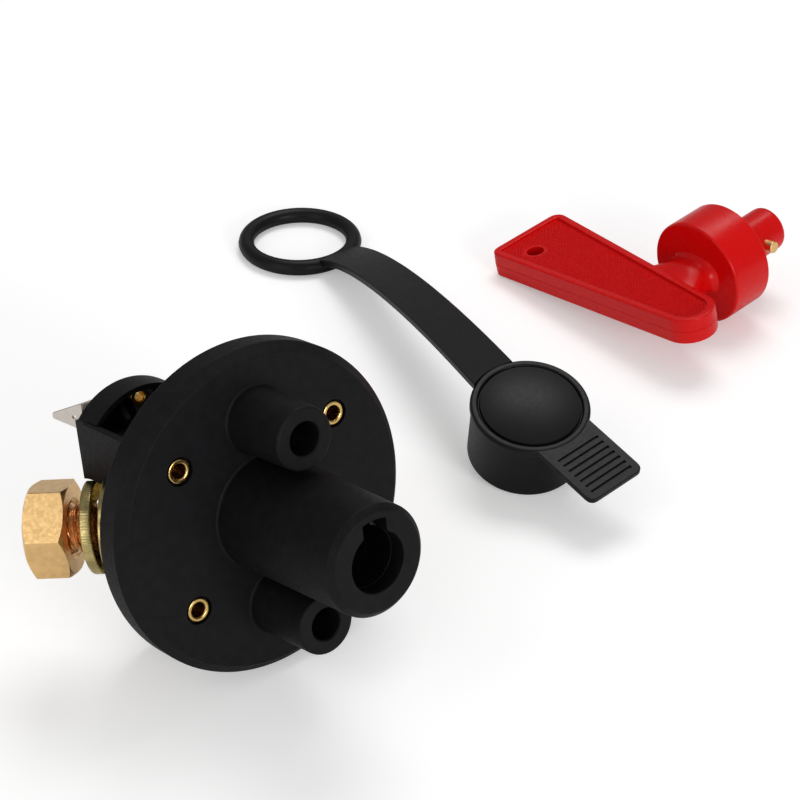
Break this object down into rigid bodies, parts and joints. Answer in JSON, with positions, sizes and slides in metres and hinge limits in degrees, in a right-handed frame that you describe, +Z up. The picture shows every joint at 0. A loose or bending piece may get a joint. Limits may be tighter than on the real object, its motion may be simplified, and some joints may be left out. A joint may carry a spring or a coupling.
{
  "type": "battery switch",
  "caption": "Removable-key battery isolator switch laid out with its red key and its strapped rubber cap; turning the rotor closes two stud terminals.",
  "frame": {"origin": "centre of the bounding box on the table top", "axes": "Z up, X to the right and Y away as the parts are laid out; the switch's own axis leans 12.5 degrees above the table, 40 degrees from -Y towards +X"},
  "size_m": [0.1678, 0.2097, 0.0655],
  "materials": {
    "housing_nylon": "moulded glass-filled nylon, faint grain",
    "rotor_nylon": "moulded nylon",
    "rivet_brass": "bright rolled brass",
    "nut_brass": "machined brass",
    "tinned": "tin-plated sheet",
    "copper": "copper, threaded",
    "yellow_zinc": "yellow zinc plating",
    "zinc_steel": "zinc-plated steel",
    "silver": "silver contact",
    "spring_steel": "spring wire",
    "red_nylon": "glossy red nylon, knurled fields",
    "cap_rubber": "moulded rubber, satin"
  },
  "bodies": {
    "switch": {"front_housing": "housing_nylon", "rear_plate": "housing_nylon", "rear_cover": "housing_nylon", "cover_screws": "zinc_steel", "front_rivets": "rivet_brass", "tag_eyelets": "rivet_brass", "tag_upper_left": "tinned", "tag_upper_right": "tinned", "tag_lower_left": "tinned", "tag_lower_right": "tinned", "aux_strips": "tinned", "stud_left": "copper", "stud_right": "copper", "flat_washer_left": "yellow_zinc", "flat_washer_right": "yellow_zinc", "spring_washer_left": "yellow_zinc", "spring_washer_right": "yellow_zinc", "nut_left": "nut_brass", "nut_right": "nut_brass", "return_spring": "spring_steel"},
    "rotor": {"rotor": "rotor_nylon"},
    "carriage": {"carrier": "rotor_nylon", "bridge": "copper", "bridge_tips": "silver", "aux_bars": "tinned"},
    "key": {"key": "red_nylon", "key_pin": "nut_brass"},
    "ring": {"ring": "cap_rubber", "strap_ring_side": "cap_rubber"},
    "cap": {"cap": "cap_rubber", "strap_cap_side": "cap_rubber"}
  },
  "joints": [
    {"name": "rotor_turn", "type": "hinge", "parent": "switch", "child": "rotor", "pos_m": [-0.0373, -0.07355, 0.03374], "axis": [-0.6271, 0.7482, -0.2168], "range_deg": [0, 90]},
    {"name": "contact_slide", "type": "slide", "parent": "switch", "child": "carriage", "axis": [-0.6271, 0.7482, -0.2168], "range_m": [0, 0.004], "deforming": ["return_spring"]},
    {"name": "key_lift", "type": "slide", "parent": "switch", "child": "key", "axis": [0, 0, 1], "range_m": [0, 0.09]},
    {"name": "cap_lift", "type": "slide", "parent": "switch", "child": "ring", "axis": [0, 0, 1], "range_m": [0, 0.09]},
    {"name": "strap_flex", "type": "hinge", "parent": "ring", "child": "cap", "pos_m": [-0.00703, 0.03428, 0.01573], "axis": [-0.9165, -0.3858, -0.1059], "range_deg": [0, 60], "stiffness_Nm_per_rad": 0.01}
  ],
  "couplings": [
    {"joint": "rotor_turn", "follows": "contact_slide", "rad_per_m": 392.7}
  ]
}
